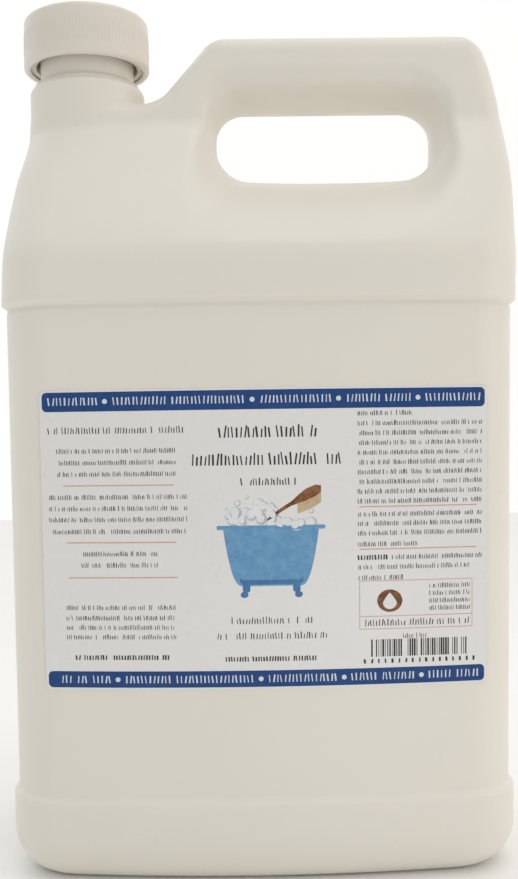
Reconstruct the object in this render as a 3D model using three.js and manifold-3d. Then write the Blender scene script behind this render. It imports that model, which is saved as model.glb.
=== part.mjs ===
// One-gallon oblong shampoo jug with a through-handle, a push-and-turn screw cap and a front label.
// Millimetres, +Z up, front face towards -Y. Origin: centre of the base, on the standing surface.
import * as THREE from 'three';
import { mergeVertices } from 'three/addons/utils/BufferGeometryUtils.js';
import Module from 'manifold-3d';

const wasm = await Module();
wasm.setup();

// Driving dimensions
const gap = 0.3; // clearance between neighbouring pieces
const wall = 1; // blow-moulded wall

const jug = {
  halfWidth: 91.5,
  halfDepth: 55,
  crown: 6.4, // how far the front and back faces belly out
  corner: 18,
  recess: 1.6, // label panel below the base band and the shoulder band
  footHeight: 17, // height of the elliptical bottom edge
  footInset: 11,
  ringInset: 21, // inner edge of the standing ring
  pushUp: 3, // height of the raised base centre
  baseBandTop: 30.7,
  shoulderBandBottom: 203.5,
  handleTop: 302,
};

const handleHole = {
  left: -13.9,
  right: 67.8,
  bottom: 251.3,
  top: 279.4,
  corner: 12,
  gripHalfDepth: 19.5,
  gripRound: 9.6, // rise of the grip's rounded underside
  crestFall: 0.0098, // the crest below the hole falls by this times y squared
  sideFlare: 0.011,
};

const neck = {
  x: -63,
  outerRadius: 21.5,
  ledge: 289,
  ledgeRadius: 19.3,
  ledgeRound: 3.7,
  finishRadius: 17.5,
  threadRadius: 18.65,
  boreRadius: 15.2,
  rim: 306.7,
};

const thread = {
  pitch: 25.4 / 6, // six threads to the inch
  rootHalfWidth: 1.1,
  crestHalfWidth: 0.45,
  neckStart: 300,
  stepsPerTurn: 24,
  neckSteps: 28,
  capSteps: 26,
  capLead: 11, // steps by which the cap's thread starts ahead of the neck's
  firstAngle: 3.75, // degrees, halfway along a facet of the neck
};

const innerCap = {
  bottom: 295.7,
  boreRadius: 19,
  outerRadius: 20.6,
  flangeRadius: 21.7,
  flangeHeight: 1.2,
  threadCrest: 17.9,
  plateBottom: 308.3,
  top: 309.5,
};

const outerCap = {
  bottom: 294.4,
  top: 313.1,
  radius: 23.75,
  topRadius: 23.45,
  skirt: 1.6,
  plate: 1.3,
  topRound: 2.4,
  beadRadius: 21.2, // snap bead that keeps the inner cap in
  beadHeight: 0.5,
  beadLead: 0.25,
};

const lugs = { count: 8, radius: 14, length: 5, width: 3.4, height: 1 };
const liner = { radius: 18.6, thickness: 1 };
const label = { x: 0.7, z: 121.2, halfWidth: 76.8, halfHeight: 51.7, corner: 2.5, film: 0.2 };
const fillLevel = 219;

// Faceting
const roundSegments = 48;
const cornerSegments = 5;
const crownSegments = 6;
const footSegments = 5;
const sliver = 0.01; // edges shorter than this are closed up after the cuts

// Solids: closed geometry in and out of the joining and cutting library
function solidFrom(geometry) {
  const bare = geometry.index ? geometry.clone() : geometry;
  bare.deleteAttribute('normal');
  bare.deleteAttribute('uv');
  const merged = mergeVertices(bare, 1e-4);
  return new wasm.Manifold(new wasm.Mesh({
    numProp: 3,
    vertProperties: new Float32Array(merged.attributes.position.array),
    triVerts: new Uint32Array(merged.index.array),
  }));
}

function geometryFrom(solid) {
  const mesh = solid.simplify(sliver).getMesh();
  const geometry = new THREE.BufferGeometry();
  geometry.setAttribute('position', new THREE.Float32BufferAttribute(mesh.vertProperties, 3));
  geometry.setIndex(Array.from(mesh.triVerts));
  return geometry;
}

// A closed skin over rings that all have the same number of points, listed anticlockwise
function loft(rings) {
  const count = rings[0].length;
  const positions = rings.flat().flatMap((p) => [p.x, p.y, p.z]);
  const index = [];
  for (let r = 0; r < rings.length - 1; r += 1) {
    for (let i = 0; i < count; i += 1) {
      const a = r * count + i;
      const b = r * count + ((i + 1) % count);
      index.push(a, b, b + count, a, b + count, a + count);
    }
  }
  const closeEnd = (ring, start, flip) => {
    const centre = new THREE.Vector3();
    ring.forEach((p) => centre.addScaledVector(p, 1 / count));
    const middle = positions.length / 3;
    positions.push(centre.x, centre.y, centre.z);
    for (let i = 0; i < count; i += 1) {
      const a = start + i;
      const b = start + ((i + 1) % count);
      index.push(...(flip ? [b, a, middle] : [a, b, middle]));
    }
  };
  closeEnd(rings[0], 0, true);
  closeEnd(rings[rings.length - 1], (rings.length - 1) * count, false);
  const geometry = new THREE.BufferGeometry();
  geometry.setAttribute('position', new THREE.Float32BufferAttribute(positions, 3));
  geometry.setIndex(index);
  return geometry;
}

function lathe(profile, x = 0, segments = roundSegments) {
  const points = profile.map(([radius, z]) => new THREE.Vector2(radius, z));
  const geometry = new THREE.LatheGeometry(points, segments);
  geometry.rotateX(Math.PI / 2);
  geometry.translate(x, 0, 0);
  return geometry;
}

// Quarter ellipse from (radius, from) to (radius - inset, to), as profile points
function roundedEdge(radius, inset, from, to, steps) {
  return Array.from({ length: steps + 1 }, (_, i) => {
    const angle = (i / steps) * (Math.PI / 2);
    return [radius - inset * (1 - Math.cos(angle)), from + (to - from) * Math.sin(angle)];
  });
}

// Horizontal section of the jug: a rounded rectangle whose long faces belly out by `crown`
function section(level, shrink = 0) {
  const left = -level.left + shrink;
  const right = level.right - shrink;
  const depth = level.depth - shrink;
  const middle = (left + right) / 2;
  const half = (right - left) / 2;
  const flat = depth - level.crown;
  const leftCorner = Math.min(level.leftCorner - shrink, flat);
  const rightCorner = Math.min(level.rightCorner - shrink, flat);
  const corners = [
    [right - rightCorner, -flat + rightCorner, rightCorner, -90],
    [right - rightCorner, flat - rightCorner, rightCorner, 0],
    [left + leftCorner, flat - leftCorner, leftCorner, 90],
    [left + leftCorner, -flat + leftCorner, leftCorner, 180],
  ];
  const points = [];
  corners.forEach(([cx, cy, radius, start], corner) => {
    for (let i = 0; i <= cornerSegments; i += 1) {
      const angle = THREE.MathUtils.degToRad(start + (90 * i) / cornerSegments);
      points.push([cx + radius * Math.cos(angle), cy + radius * Math.sin(angle)]);
    }
    if (corner % 2 === 1) { // the long faces follow the second and the fourth corner
      const from = points[points.length - 1];
      const next = corners[(corner + 1) % 4];
      for (let i = 1; i < crownSegments; i += 1) {
        points.push([THREE.MathUtils.lerp(from[0], next[0], i / crownSegments), from[1]]);
      }
    }
  });
  return points.map(([x, y]) => {
    const belly = level.crown * (1 - ((x - middle) / half) ** 2);
    return new THREE.Vector3(x, y + Math.sign(y) * belly, level.z + (level.lift ?? 0) * shrink);
  });
}

function bodyLevel(z, inset, more = {}) {
  return {
    z,
    left: jug.halfWidth - inset,
    right: jug.halfWidth - inset,
    depth: jug.halfDepth - inset,
    crown: jug.crown,
    leftCorner: jug.corner,
    rightCorner: jug.corner,
    ...more,
  };
}

// Base with its raised centre, elliptical bottom edge, recessed panel and the two bands
function lowerLevels() {
  const levels = [
    bodyLevel(jug.pushUp, jug.ringInset + 4, { leftCorner: 10, rightCorner: 10, lift: 1 }),
    bodyLevel(0, jug.ringInset, { leftCorner: 12, rightCorner: 12, lift: 1 }),
  ];
  for (let i = 0; i <= footSegments; i += 1) {
    const angle = (i / footSegments) * (Math.PI / 2);
    const inset = jug.footInset * (1 - Math.sin(angle));
    const corner = jug.corner - inset * 0.3;
    levels.push(bodyLevel(jug.footHeight * (1 - Math.cos(angle)), inset,
      { leftCorner: corner, rightCorner: corner, lift: Math.cos(angle) }));
  }
  levels.push(
    bodyLevel(jug.baseBandTop - 1.5, 0),
    bodyLevel(jug.baseBandTop - 0.3, 0.6),
    bodyLevel(jug.baseBandTop + 0.7, jug.recess),
    bodyLevel(jug.shoulderBandBottom - 1.8, jug.recess),
    bodyLevel(jug.shoulderBandBottom - 0.6, 0.9),
    bodyLevel(jug.shoulderBandBottom + 0.6, 0),
  );
  return levels;
}

// Shoulder and handle band: height, left, right, half depth, crown, left corner, right corner
function upperLevels() {
  const table = [
    [215, 91.1, 91.4, 54.8, 6.2, 18, 15.5],
    [220, 90.6, 91.4, 53.8, 5.8, 18, 14.5],
    [226, 90.1, 91.3, 50.6, 4.8, 18, 13.5],
    [236, 89.2, 91.2, 43.9, 3.2, 18, 10.5],
    [247, 87.9, 91.1, 36.4, 1.8, 18, 7.5],
    [258, 86.2, 91.0, 28.9, 0.8, 19, 6.5],
    [266, 85.0, 90.7, 23.6, 0.2, 20, 6.5],
    [271, 84.7, 90.4, 21.0, 0, 20.5, 6.5],
    [277, 84.5, 89.8, 20.2, 0, 20, 7],
    [288, 84.5, 87.2, 19.5, 0, 10, 7],
    [294, 84.5, 85.3, 19.2, 0, 10, 7],
    [298, 84.5, 83.2, 18.2, 0, 8, 6.5],
    [300.6, 84.5, 80.4, 16.2, 0, 7, 6],
    [jug.handleTop, 84.5, 76.6, 12.5, 0, 6, 5.5],
  ];
  return table.map(([z, left, right, depth, crown, leftCorner, rightCorner]) => (
    { z, left, right, depth, crown, leftCorner, rightCorner }));
}

function bodyBlock(shrink) {
  const levels = [...lowerLevels(), ...upperLevels()];
  levels[levels.length - 1].lift = -1; // the handle's top skin
  levels[levels.length - 2].lift = -1;
  return solidFrom(loft(levels.map((level) => section(level, shrink))));
}

// What is cut from the body block to make the finger hole; it flares towards both faces
function holeCutter(grow) {
  const hole = handleHole;
  const grip = hole.gripHalfDepth - grow;
  const depths = [0, 0.3, 0.55, 0.75, 0.9, 0.98, 1].map((part) => part * grip);
  const outer = [26.3, 35.6, 46.2, 60];
  const rings = [...depths.slice(1).reverse().map((y) => -y), ...depths, ...outer];
  const ring = (y) => {
    const side = hole.sideFlare * y * y + grow;
    const part = Math.min(Math.abs(y) / grip, 1);
    const top = hole.gripRound * (1 - Math.sqrt(1 - part * part)) + grow;
    const bottom = hole.crestFall * y * y + grow;
    return roundedRectangle(hole.left - side, hole.right + side, hole.bottom - bottom,
      hole.top + top, hole.corner + 0.4 * side, y);
  };
  return solidFrom(loft([...outer.slice().reverse().map((y) => -y), ...rings].map(ring)));
}

// Ring of a rounded rectangle in the XZ plane at a given y, anticlockwise as seen from +Y
function roundedRectangle(left, right, bottom, top, corner, y) {
  const centres = [
    [left + corner, bottom + corner, 180],
    [left + corner, top - corner, 90],
    [right - corner, top - corner, 0],
    [right - corner, bottom + corner, -90],
  ];
  const points = [];
  centres.forEach(([cx, cz, start]) => {
    for (let i = 0; i <= cornerSegments; i += 1) {
      const angle = THREE.MathUtils.degToRad(start + 90 - (90 * i) / cornerSegments);
      points.push(new THREE.Vector3(cx + corner * Math.cos(angle), y, cz + corner * Math.sin(angle)));
    }
  });
  return points;
}

// What is cut away between the neck and the handle's sloping front end
function notchCutter(grow) {
  const web = 278.9 - grow;
  const slopeFoot = new THREE.Vector2(-33.2 + grow, 281.8 - grow);
  const slopeHead = new THREE.Vector2(-19.3 + grow, 297.6);
  const outline = new THREE.Shape();
  outline.moveTo(-120, web);
  outline.lineTo(-42 + grow, web);
  outline.quadraticCurveTo(-36.5 + grow, web, slopeFoot.x, slopeFoot.y);
  outline.lineTo(slopeHead.x, slopeHead.y);
  outline.quadraticCurveTo(-15.8 + grow, jug.handleTop - grow, -11 + grow, jug.handleTop - grow);
  outline.lineTo(-11 + grow, jug.handleTop + 20);
  outline.lineTo(-120, jug.handleTop + 20);
  const reach = 40;
  const block = new THREE.ExtrudeGeometry(outline,
    { depth: 2 * reach, bevelEnabled: false, curveSegments: 5 });
  block.rotateX(Math.PI / 2);
  block.translate(0, reach, 0);
  return solidFrom(block);
}

// A helical ridge: `root` and `crest` are radii, and the crest may lie inside or outside the root
function threadRidge(root, crest, startStep, steps, startZ, x) {
  const outward = crest > root;
  const rings = [];
  for (let i = 0; i <= steps; i += 1) {
    const turn = (startStep + i) / thread.stepsPerTurn;
    const angle = turn * 2 * Math.PI + THREE.MathUtils.degToRad(thread.firstAngle);
    const z = startZ + turn * thread.pitch;
    const fade = Math.min(1, 0.15 + Math.min(i, steps - i) / 3);
    const tip = root + (crest - root) * fade;
    const at = (radius, dz) => new THREE.Vector3(
      x + radius * Math.cos(angle), radius * Math.sin(angle), z + dz);
    const ring = [
      at(root, -thread.rootHalfWidth), at(tip, -thread.crestHalfWidth),
      at(tip, thread.crestHalfWidth), at(root, thread.rootHalfWidth),
    ];
    rings.push(outward ? ring.reverse() : ring);
  }
  return solidFrom(loft(rings));
}

function neckOutside() {
  const profile = [
    [0, 262], [neck.outerRadius, 262],
    ...roundedEdge(neck.outerRadius, neck.outerRadius - neck.ledgeRadius,
      neck.ledge - neck.ledgeRound, neck.ledge, 4),
    [neck.finishRadius + 0.8, neck.ledge], [neck.finishRadius, neck.ledge + 1.2],
    [neck.finishRadius, neck.rim - 0.6], [neck.finishRadius - 0.6, neck.rim], [0, neck.rim],
  ];
  const ridge = threadRidge(neck.finishRadius - 0.6, neck.threadRadius, 0, thread.neckSteps,
    thread.neckStart, neck.x);
  return solidFrom(lathe(profile, neck.x)).add(ridge);
}

function neckInside() {
  const radius = neck.outerRadius - wall;
  const ceiling = neck.ledge - wall;
  return solidFrom(lathe([
    [0, 255], [radius, 255], [radius, ceiling - 3], [radius - 2, ceiling],
    [neck.boreRadius, ceiling], [neck.boreRadius, neck.rim + 5], [0, neck.rim + 5],
  ], neck.x));
}

function makeJug() {
  const outside = bodyBlock(0).subtract(notchCutter(0)).subtract(holeCutter(0)).add(neckOutside());
  const inside = bodyBlock(wall).subtract(notchCutter(wall)).subtract(holeCutter(wall))
    .add(neckInside());
  return geometryFrom(outside.subtract(inside));
}

// The shampoo, as a solid that stops at the fill level and keeps clear of the wall
function makeShampoo() {
  const clear = wall + gap;
  const levels = [...lowerLevels(), ...upperLevels()].filter((level) => level.z < fillLevel);
  const below = levels[levels.length - 1];
  const surface = { ...below, z: fillLevel, left: 90.4, right: 91.2, depth: 53.2, crown: 5.6 };
  return loft([...levels, surface].map((level) => section(level, clear)));
}

// Thin film that follows the front panel's belly
function makeLabel() {
  const panelDepth = jug.halfDepth - jug.recess;
  const panelHalf = jug.halfWidth - jug.recess;
  const front = (x) => -(panelDepth - jug.crown * (x / panelHalf) ** 2) - gap;
  const corner = label.corner;
  const turns = [0, Math.PI / 6, Math.PI / 3, Math.PI / 2]; // round each corner of the film
  const steps = 10;
  const columns = turns.map((turn) => [
    label.halfWidth - corner * (1 - Math.cos(turn)), corner * (1 - Math.sin(turn)),
  ]);
  const inner = label.halfWidth - corner;
  for (let i = 1; i < steps; i += 1) columns.push([inner - (2 * inner * i) / steps, 0]);
  for (let i = turns.length - 1; i >= 0; i -= 1) columns.push([-columns[i][0], columns[i][1]]);
  const rings = [];
  for (const [along, edge] of columns.reverse()) {
    const x = label.x + along;
    const half = label.halfHeight - edge;
    rings.push([
      new THREE.Vector3(x, front(x), label.z - half),
      new THREE.Vector3(x, front(x), label.z + half),
      new THREE.Vector3(x, front(x) - label.film, label.z + half),
      new THREE.Vector3(x, front(x) - label.film, label.z - half),
    ]);
  }
  return loft(rings);
}

function addLugs(solid, bottom, turn) {
  let result = solid;
  for (let i = 0; i < lugs.count; i += 1) {
    const block = new THREE.BoxGeometry(lugs.length, lugs.width, lugs.height + 0.2);
    block.translate(lugs.radius, 0, bottom + (lugs.height + 0.2) / 2);
    block.rotateZ(turn + (i / lugs.count) * 2 * Math.PI);
    block.translate(neck.x, 0, 0);
    result = result.add(solidFrom(block));
  }
  return result;
}

function makeInnerCap() {
  const cap = innerCap;
  const profile = [
    [0, cap.plateBottom], [cap.boreRadius, cap.plateBottom], [cap.boreRadius, cap.bottom],
    [cap.flangeRadius, cap.bottom], [cap.flangeRadius, cap.bottom + cap.flangeHeight],
    [cap.outerRadius, cap.bottom + cap.flangeHeight + 0.8], [cap.outerRadius, cap.top - 0.8],
    [cap.outerRadius - 0.8, cap.top], [0, cap.top],
  ];
  const ridge = threadRidge(cap.boreRadius + 0.6, cap.threadCrest, -thread.capLead,
    thread.capSteps, thread.neckStart + thread.pitch / 2, neck.x);
  const shell = solidFrom(lathe(profile, neck.x)).add(ridge);
  return geometryFrom(addLugs(shell, cap.top - 0.2, 0));
}

function makeOuterCap() {
  const cap = outerCap;
  const bore = cap.radius - cap.skirt;
  const underside = cap.top - cap.plate;
  const profile = [
    [0, underside], [bore - 1, underside], [bore, underside - 1],
    [bore, cap.bottom + cap.beadHeight + 0.9], [cap.beadRadius, cap.bottom + cap.beadHeight + 0.1],
    [cap.beadRadius, cap.bottom + cap.beadLead], [bore, cap.bottom],
    [cap.radius - 0.8, cap.bottom],
    [cap.radius, cap.bottom + 0.8],
    ...roundedEdge(cap.topRadius, cap.topRound, cap.top - cap.topRound, cap.top, 4),
    [0, cap.top],
  ];
  const shell = solidFrom(lathe(profile, neck.x));
  return geometryFrom(addLugs(shell, underside - lugs.height, Math.PI / lugs.count));
}

function makeLiner() {
  const bottom = neck.rim + gap;
  return lathe([[0, bottom], [liner.radius, bottom], [liner.radius, bottom + liner.thickness],
    [0, bottom + liner.thickness]], neck.x);
}

function piece(name, geometry, color, roughness) {
  const mesh = new THREE.Mesh(geometry,
    new THREE.MeshStandardMaterial({ color, roughness, metalness: 0 }));
  mesh.name = name;
  return mesh;
}

const bottle = new THREE.Group();
bottle.add(
  piece('jug', makeJug(), 0xe6e2da, 0.42),
  piece('shampoo_fill', makeShampoo(), 0xdfe3cf, 0.1),
  piece('front_label', makeLabel(), 0xf4f4f2, 0.3),
  piece('inner_cap', makeInnerCap(), 0xe2dfd8, 0.45),
  piece('outer_cap', makeOuterCap(), 0xe8e5df, 0.42),
  piece('cap_liner', makeLiner(), 0xf0efe8, 0.8),
);

export default bottle;
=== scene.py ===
import math

import bmesh
import bpy
import numpy as np
from mathutils import Matrix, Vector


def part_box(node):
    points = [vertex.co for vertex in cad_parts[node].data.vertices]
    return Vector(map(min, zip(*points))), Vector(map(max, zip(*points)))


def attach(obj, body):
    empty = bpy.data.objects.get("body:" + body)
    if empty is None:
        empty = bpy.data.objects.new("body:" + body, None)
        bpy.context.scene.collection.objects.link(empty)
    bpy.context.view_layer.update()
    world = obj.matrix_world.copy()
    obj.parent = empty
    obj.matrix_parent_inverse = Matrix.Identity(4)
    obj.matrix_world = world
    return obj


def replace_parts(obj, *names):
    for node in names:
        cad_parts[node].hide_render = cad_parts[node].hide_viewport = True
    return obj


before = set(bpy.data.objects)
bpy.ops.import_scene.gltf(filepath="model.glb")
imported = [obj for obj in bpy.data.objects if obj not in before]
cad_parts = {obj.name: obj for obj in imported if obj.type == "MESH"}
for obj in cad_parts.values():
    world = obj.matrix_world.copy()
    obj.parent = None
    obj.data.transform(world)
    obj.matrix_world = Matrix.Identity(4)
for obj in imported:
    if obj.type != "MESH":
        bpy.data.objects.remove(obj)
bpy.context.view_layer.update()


# Places, all read from the frame, in millimetres

def boxOf(node):
    low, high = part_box(node)
    return np.array(low) * 1000, np.array(high) * 1000


capLow, capHigh = boxOf("outer_cap")
labelLow, labelHigh = boxOf("front_label")
innerCapFoot = boxOf("inner_cap")[0][2]
halfWidth, halfDepth, rimTop = boxOf("jug")[1]
neckX = (capLow[0] + capHigh[0]) / 2
mm = 0.001  # every size below is in millimetres, and the scene is in metres


# Camera, lights and floor

view = {"place": (-0.0137, -0.4073, 0.1586), "turn": 0.010, "tilt": -0.067, "roll": -0.014,
        "lens": 28.46, "sensorHeight": 24.0, "shift": (0.029, 0.069)}


def makeCamera():
    data = bpy.data.cameras.new("camera")
    data.sensor_fit = "VERTICAL"
    data.sensor_height = view["sensorHeight"]
    data.lens = view["lens"]
    data.shift_x, data.shift_y = view["shift"]
    data.clip_start = 0.01
    camera = bpy.data.objects.new("camera", data)
    bpy.context.scene.collection.objects.link(camera)
    level = Matrix.Rotation(-view["turn"], 4, "Z") @ Matrix.Rotation(math.pi / 2 + view["tilt"], 4, "X")
    camera.matrix_world = Matrix.Translation(view["place"]) @ level @ Matrix.Rotation(view["roll"], 4, "Z")
    bpy.context.scene.camera = camera


studio = {"backdrop": 1.02, "room": 0.58, "ceiling": 0.32,
          "cool": (0.985, 1.0, 1.0), "warm": (1.0, 0.955, 0.925),
          "key": {"place": (0.95, -0.40, 0.45), "size": 0.5, "power": 1.12, "colour": (1.0, 0.95, 0.91)},
          "low": {"place": (0.08, -0.27, 0.05), "size": 0.09, "power": 0.018, "colour": (0.90, 0.96, 1.0)},
          "top": {"place": (0.12, -0.2, 1.1), "size": 0.5, "power": 1.05, "colour": (1.0, 1.0, 0.97)},
          "floorSize": 3.0, "floorColour": (0.93, 0.93, 0.92)}


def makeLight(name, spec, target):
    data = bpy.data.lights.new(name, "AREA")
    data.size = spec["size"]
    data.energy = spec["power"]
    data.color = spec["colour"]
    light = bpy.data.objects.new(name, data)
    bpy.context.scene.collection.objects.link(light)
    place = Matrix.Translation(spec["place"])
    toTarget = place.translation - Matrix.Translation(target).translation
    light.matrix_world = place @ toTarget.to_track_quat("Z", "Y").to_matrix().to_4x4()


# Shader maths: a socket that can be added to and multiplied

class Value:
    def __init__(self, maker, socket):
        self.maker = maker
        self.socket = socket

    def combine(self, operation, first, second):
        return self.maker.make("ShaderNodeMath", {"operation": operation}, {0: first, 1: second})[0]

    def __add__(self, other):
        return self.combine("ADD", self, other)

    def __radd__(self, other):
        return self.combine("ADD", other, self)

    def __mul__(self, other):
        return self.combine("MULTIPLY", self, other)

    def __rmul__(self, other):
        return self.combine("MULTIPLY", other, self)


class Made:
    def __init__(self, maker, node):
        self.maker = maker
        self.node = node

    def __getitem__(self, key):
        return Value(self.maker, self.node.outputs[key])


class Finish:
    def __init__(self, name):
        self.material = bpy.data.materials.new(name)
        self.material.use_nodes = True
        self.tree = self.material.node_tree
        self.tree.nodes.clear()

    def make(self, kind, settings, sockets):
        node = self.tree.nodes.new(kind)
        for key, value in settings.items():
            setattr(node, key, value)
        for key, value in sockets.items():
            if isinstance(value, Value):
                self.tree.links.new(value.socket, node.inputs[key])
            else:
                node.inputs[key].default_value = value
        return Made(self, node)

    def place(self):
        return self.make("ShaderNodeTexCoord", {}, {})["Object"]

    def stretched(self, scale):
        return self.make("ShaderNodeMapping", {}, {"Vector": self.place(), "Scale": scale})["Vector"]

    def noise(self, scale, detail=3.0, rough=0.5, at=None):
        at = at or self.place()
        return self.make("ShaderNodeTexNoise", {}, {"Vector": at, "Scale": scale, "Detail": detail,
                                                    "Roughness": rough})["Fac"]

    def between(self, value, low, high, fromLow=0.3, fromHigh=0.7):  # a value stretched to low..high
        return self.make("ShaderNodeMapRange", {"clamp": True, "interpolation_type": "SMOOTHSTEP"},
                         {"Value": value, "From Min": fromLow, "From Max": fromHigh,
                          "To Min": low, "To Max": high})["Result"]

    def blend(self, share, first, second):
        return self.make("ShaderNodeMix", {"data_type": "RGBA"}, {0: share, 6: first, 7: second})[2]

    def bump(self, height, strength, distance):
        return self.make("ShaderNodeBump", {}, {"Height": height, "Strength": strength,
                                                "Distance": distance})["Normal"]

    def surface(self, sockets):
        shader = self.make("ShaderNodeBsdfPrincipled", {}, sockets)
        self.make("ShaderNodeOutputMaterial", {}, {"Surface": shader["BSDF"]})
        return self.material


def shade(red, green, blue):
    return (red, green, blue, 1.0)


jugFinish = {"light": shade(0.81, 0.77, 0.695), "dark": shade(0.79, 0.75, 0.67),
             "grime": shade(0.70, 0.67, 0.61), "roughness": (0.36, 0.48), "scuffRoughness": 0.8,
             "wave": 0.9, "grain": (0.012, 0.02), "seamHalf": 0.00035, "seamRise": 0.10,
             "subsurface": 0.12, "depth": (0.006, 0.005, 0.004)}


def jugPlastic():
    f = Finish("jug_plastic")
    cloud = f.noise(9.0, 3.0)
    tone = f.blend(f.between(cloud, 0.0, 1.0), jugFinish["dark"], jugFinish["light"])
    scuff = f.between(f.noise(240.0, 4.0, 0.6, f.stretched((1.0, 1.0, 0.35))), 0.0, 0.10, 0.62, 0.78)
    colour = f.blend(scuff, tone, jugFinish["grime"])
    low, high = jugFinish["roughness"]
    rough = f.between(f.noise(55.0, 4.0), low, high) + scuff * jugFinish["scuffRoughness"]
    wave = f.noise(14.0, 1.0) * jugFinish["wave"]  # the slow ripple of a blown wall
    fine, coarse = jugFinish["grain"]
    grain = f.noise(2600.0, 2.0, 0.6) * fine + f.noise(420.0, 2.0) * coarse
    across = f.make("ShaderNodeSeparateXYZ", {}, {"Vector": f.place()})["Y"]
    fromSeam = f.make("ShaderNodeMath", {"operation": "ABSOLUTE"}, {0: across})[0]
    seam = f.between(fromSeam, jugFinish["seamRise"], 0.0, 0.0, jugFinish["seamHalf"])
    normal = f.bump(wave + grain + seam, 0.5, 0.0016)
    return f.surface({"Base Color": colour, "Roughness": rough, "Normal": normal, "IOR": 1.5,
                      "Subsurface Weight": jugFinish["subsurface"], "Subsurface Radius": jugFinish["depth"],
                      "Subsurface Scale": 0.4})


capFinish = {"light": shade(0.76, 0.71, 0.63), "dark": shade(0.74, 0.69, 0.61), "roughness": (0.30, 0.42)}
innerFinish = {"light": shade(0.62, 0.57, 0.50), "dark": shade(0.59, 0.54, 0.47), "roughness": (0.34, 0.46)}


def mouldedPlastic(name, spec):
    f = Finish(name)
    tone = f.blend(f.between(f.noise(30.0), 0.0, 1.0), spec["dark"], spec["light"])
    low, high = spec["roughness"]
    rough = f.between(f.noise(120.0, 4.0), low, high)
    normal = f.bump(f.noise(1800.0, 2.0) * 0.5 + f.noise(160.0, 2.0), 0.35, 0.0001)
    return f.surface({"Base Color": tone, "Roughness": rough, "Normal": normal,
                      "Subsurface Weight": 0.08, "Subsurface Radius": (0.004, 0.0035, 0.003),
                      "Subsurface Scale": 0.4})


def foam():
    f = Finish("liner_foam")
    voronoi = f.make("ShaderNodeTexVoronoi", {"feature": "F1"}, {"Vector": f.place(), "Scale": 2200.0})
    cells = voronoi["Distance"]
    tone = f.blend(f.between(cells, 0.0, 1.0, 0.1, 0.7), shade(0.86, 0.85, 0.80), shade(0.76, 0.75, 0.70))
    return f.surface({"Base Color": tone, "Roughness": 0.85, "Normal": f.bump(cells, 0.4, 0.00015)})


def shampooLiquid():
    f = Finish("shampoo")
    swirl = f.noise(26.0, 4.0, 0.6, f.stretched((1.0, 1.0, 0.4)))
    tone = f.blend(f.between(swirl, 0.0, 1.0), shade(0.74, 0.77, 0.60), shade(0.86, 0.88, 0.76))
    return f.surface({"Base Color": tone, "Roughness": f.between(swirl, 0.05, 0.14), "IOR": 1.35,
                      "Coat Weight": 0.4, "Normal": f.bump(f.noise(40.0, 2.0), 0.2, 0.0004)})


def labelFilm():
    f = Finish("label_film")
    cloud = f.between(f.noise(22.0, 4.0), 0.0, 1.0)
    tone = f.blend(cloud, shade(0.768, 0.758, 0.745), shade(0.777, 0.767, 0.754))
    rough = f.between(f.noise(90.0, 3.0), 0.26, 0.33)
    ripple = f.noise(18.0, 2.0, 0.5, f.stretched((1.0, 1.0, 0.5)))
    fibre = f.noise(1500.0, 3.0, 0.6)
    return f.surface({"Base Color": tone, "Roughness": rough,
                      "Normal": f.bump(ripple + fibre * 0.03, 0.12, 0.0004)})


def ink(name, main, second):
    f = Finish(name)
    mottle = f.noise(420.0, 4.0, 0.65)
    tone = f.blend(f.between(mottle, 0.0, 1.0), main, second)
    return f.surface({"Base Color": tone, "Roughness": f.between(f.noise(90.0), 0.32, 0.42),
                      "Specular IOR Level": 0.25, "Normal": f.bump(mottle, 0.1, 0.00003)})


def floorFinish():
    f = Finish("floor")
    colour = studio["floorColour"]
    duller = shade(*[c * 0.985 for c in colour])
    tone = f.blend(f.between(f.noise(6.0, 4.0), 0.0, 1.0), shade(*colour), duller)
    return f.surface({"Base Color": tone, "Roughness": 0.7, "Normal": f.bump(f.noise(300.0), 0.1, 0.0002)})


# Mesh helpers

def closedMesh(name, points, faces, fix=None):  # points in millimetres; faces end up pointing outwards
    mesh = bpy.data.meshes.new(name)
    mesh.from_pydata((np.asarray(points) * mm).tolist(), [], [tuple(int(i) for i in face) for face in faces])
    mesh.validate()
    work = bmesh.new()
    work.from_mesh(mesh)
    if fix:
        fix(work)
    bmesh.ops.recalc_face_normals(work, faces=work.faces)
    work.to_mesh(mesh)
    work.free()
    return mesh


def makePiece(name, points, faces, material, body, slot, smooth=True, fix=None):
    return addPiece(name, closedMesh(name, points, faces, fix), material, body, slot, smooth)


def addPiece(name, mesh, material, body, slot, smooth):
    mesh.materials.clear()
    mesh.materials.append(material)
    mesh.polygons.foreach_set("use_smooth", [smooth] * len(mesh.polygons))
    piece = bpy.data.objects.new(name, mesh)
    bpy.context.scene.collection.objects.link(piece)
    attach(piece, body)
    return piece


def joined(parts):  # (points, faces) pairs as one pair
    points, faces, count = [], [], 0
    for somePoints, someFaces in parts:
        points.append(np.asarray(somePoints, float))
        faces += [[i + count for i in face] for face in someFaces]
        count += len(somePoints)
    return np.concatenate(points), faces


def band(first, second, count):  # quads between two rings of the same count, given their first indices
    return [[first + i, first + (i + 1) % count, second + (i + 1) % count, second + i] for i in range(count)]


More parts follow.
